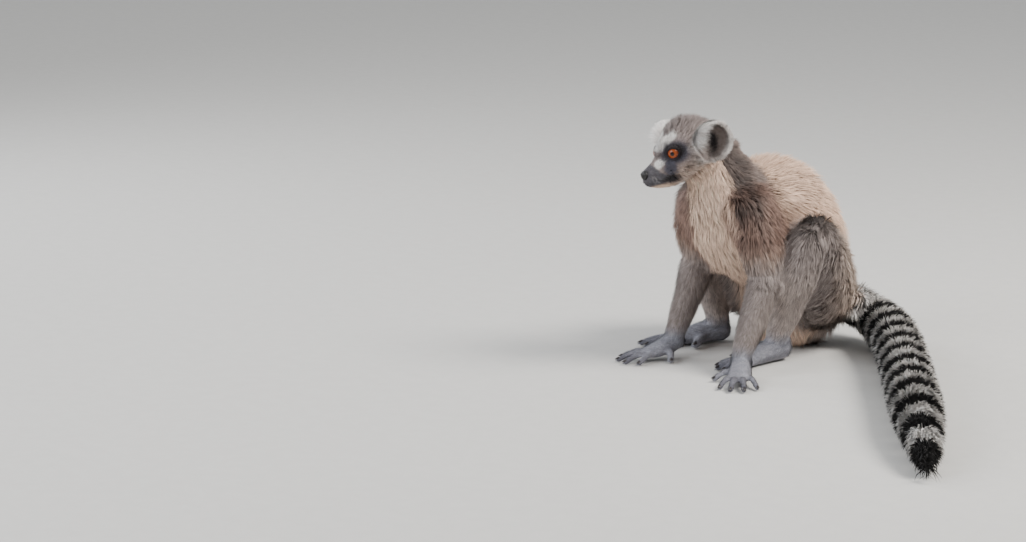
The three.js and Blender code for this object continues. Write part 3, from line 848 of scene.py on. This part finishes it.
def grow(name, chosen, seed, sides=6, clump=4.0, ring_shift=0.0, grizzle=0.13, skyward=0.0,
         seen_at=0.45):
    """A piece of coat: tufts over the chosen faces of the skin, coloured as where they are seen."""
    rng = np.random.default_rng(seed)
    faces = np.flatnonzero(chosen)
    wanted = areas[faces] * coat[corners[faces], 3].mean(axis=1)
    faces = np.repeat(faces, np.floor(wanted + rng.random(len(faces))).astype(int))
    n = len(faces)
    share = rng.dirichlet([1, 1, 1], n)

    def at_root(values):
        return np.einsum("ij,ij...->i...", share, values[corners[faces]])

    root, normal, way = at_root(places), unit(at_root(normals)), unit(at_root(lie))
    look = at_root(coat)
    uv = np.einsum("ij,ijk->ik", share, unwrap[corner_loops[faces]])
    long = look[:, 0] * rng.uniform(0.7, 1.15, n)
    wide = look[:, 1] * rng.uniform(0.7, 1.2, n)
    lift = np.minimum(look[:, 2] * rng.uniform(0.6, 1.1, n), long * 0.78)
    way = way + (0.08 if ring_shift else 0.16) * unit(rng.normal(size=(n, 3)))
    way = unit(way - normal * dot(way, normal)[:, None])
    reach = np.sqrt(np.maximum(long ** 2 - lift ** 2, 0.04))
    tip = root + (way * reach[:, None] + normal * lift[:, None]) * MM
    knots = rng.choice(n, max(n // TUFTS_TO_A_LOCK, 1), replace=False)
    knot_tree = KDTree(len(knots))
    for number, knot in enumerate(knots):
        knot_tree.insert(root[knot], number)
    knot_tree.balance()
    mate = knots[[knot_tree.find(place)[1] for place in root]]
    if ring_shift:
        paint = ringed(at_root(tail_at) + ring_shift * look[:, 0] + rng.normal(0, 1.6, n))
    elif seen_at:
        seen = root + way * (seen_at * reach + rng.normal(0, 0.7, n))[:, None] * MM
        paint = colour[[skin_points.find(place)[1] for place in seen]]
    else:
        paint = at_root(colour)
    pull = tip[mate] - tip
    size = np.linalg.norm(pull, axis=1, keepdims=True)
    pull = pull * np.minimum(1, clump * MM / np.maximum(size, 1e-9)) * CLUMP_SHARE
    tip = tip + pull - normal * dot(pull, normal)[:, None] * 0.5
    bend = root + (way * reach[:, None] * 0.42 + normal * lift[:, None] * 0.72) * MM + pull * 0.2
    base = root - normal * 0.35 * MM
    across = unit(np.cross(normal, way))
    half, ridge = wide[:, None] * 0.5 * MM, wide[:, None] * 0.38 * MM
    if sides == 6:
        rows = [base + across * half, base - across * half, base + normal * ridge,
                bend + across * half * 0.85, bend - across * half * 0.85, bend + normal * ridge * 0.8, tip]
        flat = [(0, 2, 5), (0, 5, 3), (2, 1, 4), (2, 4, 5), (1, 0, 3), (1, 3, 4),
                (3, 5, 6), (5, 4, 6), (4, 3, 6), (0, 1, 2)]
        along = [0, 0, 0, 0.5, 0.5, 0.5, 1]
    else:
        rows = [base + across * half, base - across * half, base + normal * ridge + way * ridge, tip]
        flat = [(0, 2, 3), (2, 1, 3), (1, 0, 3), (0, 1, 2)]
        along = [0, 0, 0, 1]
    points = len(rows)
    co = np.stack(rows, axis=1)
    co[:, :, 2] = np.maximum(co[:, :, 2], 0.15 * MM)
    middle = np.stack([base + (tip - base) * a for a in along], axis=1)
    own = unit(co - middle + normal[:, None] * 0.2 * MM)
    shading = unit(own * 0.6 + normal[:, None] * 0.62 + [0, 0, skyward])
    mesh = bpy.data.meshes.new(name)
    mesh.vertices.add(n * points)
    mesh.vertices.foreach_set("co", co.astype(np.float32).ravel())
    triangles = (np.arange(n)[:, None, None] * points + np.array(flat)[None]).reshape(-1, 3)
    mesh.loops.add(triangles.size)
    mesh.loops.foreach_set("vertex_index", triangles.astype(np.int32).ravel())
    mesh.polygons.add(len(triangles))
    mesh.polygons.foreach_set("loop_start", np.arange(0, triangles.size, 3, dtype=np.int32))
    mesh.update(calc_edges=True)
    shade = rng.normal(1, grizzle, n) * (1 + 0.12 * np.sin(mate * TINT_STEP))
    tint = np.clip(paint * np.clip(shade, 0.55, 1.5)[:, None], 0, 1)
    tints = np.repeat(np.column_stack([tint, np.ones(n)]), points, axis=0)
    lay(mesh, "coat_colour", "FLOAT_COLOR", tints)
    lay(mesh, "along", "FLOAT", np.tile(along, n))
    turn = np.array([0, 2.1, 4.2, 0.9, 3.0, 5.1, 0][:points])
    shrink = np.array([1, 1, 1, 0.6, 0.6, 0.6, 0.0] if points == 7 else [1, 1, 1, 0.2])
    patch = np.stack([np.cos(turn), np.sin(turn)], axis=1) * shrink[:, None] * PATCH
    spread = (uv[:, None] + patch[None]).reshape(-1, 2)[triangles.ravel()]
    mesh.uv_layers.new(name="OFBake").data.foreach_set("uv", spread.astype(np.float32).ravel())
    mesh.polygons.foreach_set("use_smooth", np.ones(len(triangles), bool))
    mesh.normals_split_custom_set_from_vertices(shading.reshape(-1, 3).astype(np.float32))
    piece = new_piece(name, mesh)
    mesh.materials.append(coat_material)
    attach(piece, "root")


coat_material, tree, shader = simple_material("hair", 0.62, 0.35)
# Painted shade: each tuft's colour is darkened towards its root, as shade deep in the coat, and lightened
# towards its tip.
ramp = tree.nodes.new("ShaderNodeValToRGB")
ramp.color_ramp.elements[0].color = (0.74, 0.72, 0.71, 1)
ramp.color_ramp.elements[1].color = (1.12, 1.12, 1.12, 1)
tree.links.new(attribute_of(tree, "along").outputs["Fac"], ramp.inputs["Fac"])
shaded = times(tree, attribute_of(tree, "coat_colour").outputs["Color"], ramp.outputs["Color"])
mottle_material(tree, shader, shaded, 160, 0.1, 0)

is_region = {name: strongest == name for name in REGIONS}
grow("coat_head", is_region["head"], 1, sides=3, clump=2.5, grizzle=0.22, skyward=0.15)
grow("coat_ears", is_region["ear"], 2, sides=3, clump=1.5, skyward=0.5, seen_at=0)
grow("coat_neck", is_region["neck"], 3, grizzle=0.16)
back = middles[:, 2] > 118
grow("coat_upper_trunk", is_region["trunk"] & back, 4)
grow("coat_lower_trunk", is_region["trunk"] & ~back, 5)
grow("coat_upper_arms", is_region["upper_arm"], 6)
grow("coat_forearms", is_region["forearm"], 13, sides=3, clump=2.5, grizzle=0.18)
on_leg = is_region["thigh"] | is_region["shank"]
grow("coat_leg_left", on_leg & (middles[:, 0] > 0), 7, grizzle=0.18)
grow("coat_leg_right", on_leg & (middles[:, 0] < 0), 8, grizzle=0.18)
grow("coat_hands_feet", is_region["hand"] | is_region["foot"], 9, sides=3, clump=1.0)
tail_middle = tail_share[corners].mean(axis=1)
for name, start, end, seed in (("coat_tail_root", -1, 0.33, 10), ("coat_tail_middle", 0.33, 0.66, 11),
                               ("coat_tail_end", 0.66, 2, 12)):
    part = is_region["tail"] & (tail_middle >= start) & (tail_middle < end)
    grow(name, part, seed, ring_shift=0.5)

# ---------- the eyes ----------
# Glass balls with an amber iris and a round black pupil, set in the lids.


def eye_ball(name, side):
    bpy.ops.mesh.primitive_uv_sphere_add(segments=64, ring_count=48, radius=EYE_RADIUS * MM)
    ball = bpy.context.object
    ball.name = ball.data.name = name
    co = points_of(ball.data)
    angle = np.degrees(np.arccos(np.clip(co[:, 2] / (EYE_RADIUS * MM), -1, 1)))
    bulge = 0.4 * MM * (1 - ease(angle, 22, 52))
    co *= (1 + bulge / (EYE_RADIUS * MM))[:, None]
    turn = np.arctan2(co[:, 1], co[:, 0])
    gaze = (GAZE * [side, 1, 1]) @ HEAD_AXES
    across = unit(np.cross([0, 0, 1.0], gaze))
    frame_axes = np.stack([across, np.cross(gaze, across), gaze])
    put(ball.data, co @ frame_axes + out_of_head(EYE * [side, 1, 1]))
    lay(ball.data, "from_gaze", "FLOAT", angle / 60)
    lay(ball.data, "fibre", "FLOAT_VECTOR", np.column_stack([np.cos(turn), np.sin(turn), angle / 60]))
    bpy.ops.object.shade_smooth()
    ball.data.materials.append(eye_material)
    select_none()
    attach(ball, "root")
    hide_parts("eye_left" if side > 0 else "eye_right")


eye_material, tree, shader = simple_material("eye", 0.08, 0.25)
shader.inputs["Coat Weight"].default_value = 0.3
shader.inputs["Coat Roughness"].default_value = 0.02
ramp = tree.nodes.new("ShaderNodeValToRGB")
stops = ((0.0, (0.003, 0.003, 0.003, 1)), (0.19, (0.003, 0.003, 0.003, 1)),
         (0.23, (0.06, 0.012, 0.003, 1)), (0.36, (0.30, 0.055, 0.005, 1)), (0.62, (0.24, 0.04, 0.004, 1)),
         (0.84, (0.10, 0.018, 0.004, 1)), (0.96, (0.012, 0.008, 0.006, 1)))
ramp.color_ramp.elements[0].position, ramp.color_ramp.elements[0].color = stops[0]
ramp.color_ramp.elements[1].position, ramp.color_ramp.elements[1].color = stops[-1]
for position, value in stops[1:-1]:
    ramp.color_ramp.elements.new(position).color = value
stretch = tree.nodes.new("ShaderNodeMapping")
stretch.inputs["Scale"].default_value = (14, 14, 3)
noise = tree.nodes.new("ShaderNodeTexNoise")
noise.inputs["Scale"].default_value = 1.4
noise.inputs["Detail"].default_value = 4
streak = tree.nodes.new("ShaderNodeMapRange")
streak.inputs["To Min"].default_value = 0.55
streak.inputs["To Max"].default_value = 1.35
tree.links.new(attribute_of(tree, "from_gaze").outputs["Fac"], ramp.inputs["Fac"])
tree.links.new(attribute_of(tree, "fibre").outputs["Vector"], stretch.inputs["Vector"])
tree.links.new(stretch.outputs["Vector"], noise.inputs["Vector"])
tree.links.new(noise.outputs["Fac"], streak.inputs["Value"])
iris = times(tree, ramp.outputs["Color"], streak.outputs["Result"])
tree.links.new(iris, shader.inputs["Base Color"])
eye_ball("eyeball_left", LEFT)
eye_ball("eyeball_right", RIGHT)

# ---------- the nose ----------
# Bare black leather over the end of the muzzle, with a comma-shaped nostril on each side.



def finished(piece, material):
    """Faces turned outwards and smoothed, and the piece fixed to the body."""
    bpy.ops.object.mode_set(mode="EDIT")
    bpy.ops.mesh.select_all(action="SELECT")
    bpy.ops.mesh.normals_make_consistent(inside=False)
    bpy.ops.object.mode_set(mode="OBJECT")
    bpy.ops.object.shade_smooth()
    select_none()
    piece.data.materials.append(material)
    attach(piece, "root")


bpy.ops.mesh.primitive_uv_sphere_add(segments=56, ring_count=40, radius=1)
leather = bpy.context.object
leather.name = leather.data.name = "nose_leather"
co = points_of(leather.data) * [5.3, 4.2, 4.6]
co[:, 0] *= 1 - 0.25 * ease(-co[:, 2], 0, 4.5)
for side in (LEFT, RIGHT):
    hole = np.array([side * 2.9, 3.0, -0.6])
    away = size_of((co - hole) / [1.15, 3, 1.35])
    co[:, 1] -= 1.8 * np.exp(-away ** 2.4)
    wing = size_of((co - [side * 4.2, 2.0, 0.4]) / [1.3, 2, 2.0])
    co[:, 0] += side * 0.35 * np.exp(-wing ** 2)
co[:, 1] -= 0.5 * np.exp(-(co[:, 0] / 0.5) ** 2) * (co[:, 2] < 0.5)
put(leather.data, out_of_head(co + [0, 42.9, -11.5]))
nose_material = plain_material("nose_leather", 0.42, 0.5, linear(26, 24, 25), 1800, 0.35, 0.5)
finished(leather, nose_material)
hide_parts("nose")

# ---------- the nails ----------
# Small flat dark nails on the ends of the fingers and toes, each set into the back of its digit.

# out, from, aim, long and thick
FINGERS = ((-8, 10, -58, 22, 4), (-8, 29, -20, 28, 3.5), (-2.6, 32, -6, 33, 3.7), (3.4, 31, 7, 34, 3.7),
           (8.8, 26, 23, 29, 3.4))
TOES = ((-9, 27, -40, 28, 5.2), (-7, 58, -11, 26, 3.9), (-1.2, 61, -2, 31, 4.1), (4.8, 60, 6, 34, 4.2),
        (10, 55, 16, 28, 3.9))
nail_material = plain_material("nail", 0.35, 0.5, linear(46, 41, 42), 700, 0.25, 0.15)


def nails(name, side, spot, heading, digits):
    select_none()
    made = []
    for out, start, aim, long, thick in digits:
        bpy.ops.mesh.primitive_uv_sphere_add(segments=12, ring_count=8, radius=MM)
        nail = bpy.context.object
        co = points_of(nail.data) / MM
        co = co * [thick * 0.52, thick * 0.75, 0.55]
        co[:, 0] *= 1 - 0.25 * ease(co[:, 1], 0, thick * 0.75)
        co[:, 2] -= 0.16 * co[:, 0] ** 2 / (thick * 0.25)
        co = co @ turned(("X", -24)).T
        co = co + [0, 0, 1.55 * thick - 0.9]
        turn = radians(aim)
        reach = long - thick * 0.35
        ahead = co[:, 1] + reach
        left = side * (out + np.sin(turn) * ahead + np.cos(turn) * co[:, 0])
        forward = start + np.cos(turn) * ahead - np.sin(turn) * co[:, 0]
        swing = radians(side * heading)
        x = spot[0] + left * np.cos(swing) + forward * np.sin(swing)
        y = -spot[1] + left * np.sin(swing) - forward * np.cos(swing)
        put(nail.data, np.stack([x, y, co[:, 2]], axis=1) * MM)
        made.append(nail)
    select_none()
    for nail in made:
        nail.select_set(True)
    bpy.context.view_layer.objects.active = made[0]
    bpy.ops.object.join()
    whole = bpy.context.object
    whole.name = whole.data.name = name
    finished(whole, nail_material)


for name, side in SIDES.items():
    nails(f"nails_hand_{name}", side, *WRISTS[side], FINGERS)
    nails(f"nails_foot_{name}", side, *HEELS[side], TOES)

# ---------- the whiskers ----------
# A few long pale hairs on each brow, and shorter ones on the upper lip.


def whiskers(name, roots, ways, lengths, thick, seed):
    rng = np.random.default_rng(seed)
    rows, flat = [], []
    for root, way, long in zip(roots, ways, lengths):
        droop = rng.normal(0, 0.12, 3) + [0, 0, -0.1]
        start = len(rows)
        steps = 6
        side_way = unit(np.cross(way, [0.2, 0.3, 1.0]))
        up_way = np.cross(side_way, way)
        for step in range(steps + 1):
            share = step / steps
            centre = root + way * long * share + droop * long * share ** 2
            radius = thick * (1 - share) + 0.01
            for turn in (0, 2.094, 4.189):
                rows.append(centre + (side_way * np.cos(turn) + up_way * np.sin(turn)) * radius)
        for step in range(steps):
            a = start + 3 * step
            for k in range(3):
                flat.append((a + k, a + (k + 1) % 3, a + 3 + (k + 1) % 3, a + 3 + k))
        last = start + 3 * steps
        flat += [(start + 2, start + 1, start), (last, last + 1, last + 2)]
    mesh = bpy.data.meshes.new(name)
    mesh.from_pydata(out_of_head(np.array(rows)).tolist(), [], flat)
    mesh.materials.append(whisker_material)
    piece = new_piece(name, mesh)
    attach(piece, "root")


whisker_material = plain_material("whisker", 0.4, 0.5, linear(225, 222, 218), 90, 0.15, 0)
for name, side in SIDES.items():
    rng = np.random.default_rng(40 + side)
    brow = np.array([10, 13, 17]) + rng.normal(0, 1, (9, 3)) * [2.5, 1.2, 1.6]
    ways = unit(np.array([0.25, 0.85, 0.45]) + rng.normal(0, 0.22, (9, 3)))
    flip = [side, 1, 1]
    whiskers(f"whiskers_brow_{name}", brow * flip, ways * flip, rng.uniform(9, 19, 9), 0.11, 50 + side)
    lip = np.array([7.6, 37, -15]) + rng.normal(0, 1, (7, 3)) * [0.2, 3.2, 2.2]
    ways = unit(np.array([0.75, 0.1, -0.55]) + rng.normal(0, 0.25, (7, 3)))
    whiskers(f"whiskers_lip_{name}", lip * flip, ways * flip, rng.uniform(7, 14, 7), 0.06, 60 + side)

# ---------- floor, light and camera ----------
# A plain pale floor under soft studio light.

bpy.ops.mesh.primitive_circle_add(vertices=96, radius=60, fill_type="NGON", location=(0, 0, 0))
floor = bpy.context.object
floor.name = floor.data.name = "studio_floor"
floor.data.materials.append(plain_material("studio_floor", 0.8, 0.2, (0.62, 0.61, 0.59), 60, 0.02, 0))

world = bpy.data.worlds.new("studio")
world.use_nodes = True
world.node_tree.nodes["Background"].inputs["Color"].default_value = (0.86, 0.88, 0.9, 1)
world.node_tree.nodes["Background"].inputs["Strength"].default_value = 0.75
bpy.context.scene.world = world


def lamp(name, place, target, size, power, tint=(1, 1, 1)):
    light = bpy.data.lights.new(name, "AREA")
    light.shape, light.size, light.energy, light.color = "DISK", size, power, tint
    holder = new_piece(name, light)
    holder.location = place
    holder.rotation_euler = (Vector(target) - Vector(place)).to_track_quat("-Z", "Y").to_euler()


lamp("key", (1.1, 0.5, 1.6), (0, -0.08, 0.12), 0.9, 52, (1, 0.96, 0.9))
lamp("fill", (-0.5, -1.9, 1.2), (0, -0.08, 0.12), 1.4, 24, (0.96, 0.98, 1))
lamp("side", (-1.5, -0.3, 1.0), (0, -0.08, 0.12), 0.9, 12, (0.95, 0.97, 1))

AZIMUTH, ELEVATION = radians(42), radians(11)
DISTANCE = 3.2
AIM = np.array([0, 0.075, 0.118]) * [1, -1, 1]
AIM_PIXEL = (749, 236)
FRAME_SIZE = (1026, 542)
FOCAL_PIXELS = 3200
yaw = atan((AIM_PIXEL[0] - FRAME_SIZE[0] / 2) / FOCAL_PIXELS)
pitch = atan((FRAME_SIZE[1] / 2 - AIM_PIXEL[1]) / FOCAL_PIXELS)


def outward(azimuth, elevation):
    return np.array([sin(azimuth) * cos(elevation), -cos(azimuth) * cos(elevation), sin(elevation)])


eye_point = AIM + DISTANCE * outward(AZIMUTH, ELEVATION)
back_way = outward(AZIMUTH + yaw, ELEVATION + pitch)
right_way = np.array([cos(AZIMUTH + yaw), sin(AZIMUTH + yaw), 0])
up_way = np.cross(back_way, right_way)
camera_data = bpy.data.cameras.new("camera")
camera_data.lens = 36 * FOCAL_PIXELS / FRAME_SIZE[0]
camera_data.sensor_width = 36
camera_data.clip_end = 50
camera = new_piece("camera", camera_data)
camera.matrix_world = Matrix([[*right_way], [*up_way], [*back_way]]).transposed().to_4x4()
camera.location = eye_point
bpy.context.scene.camera = camera
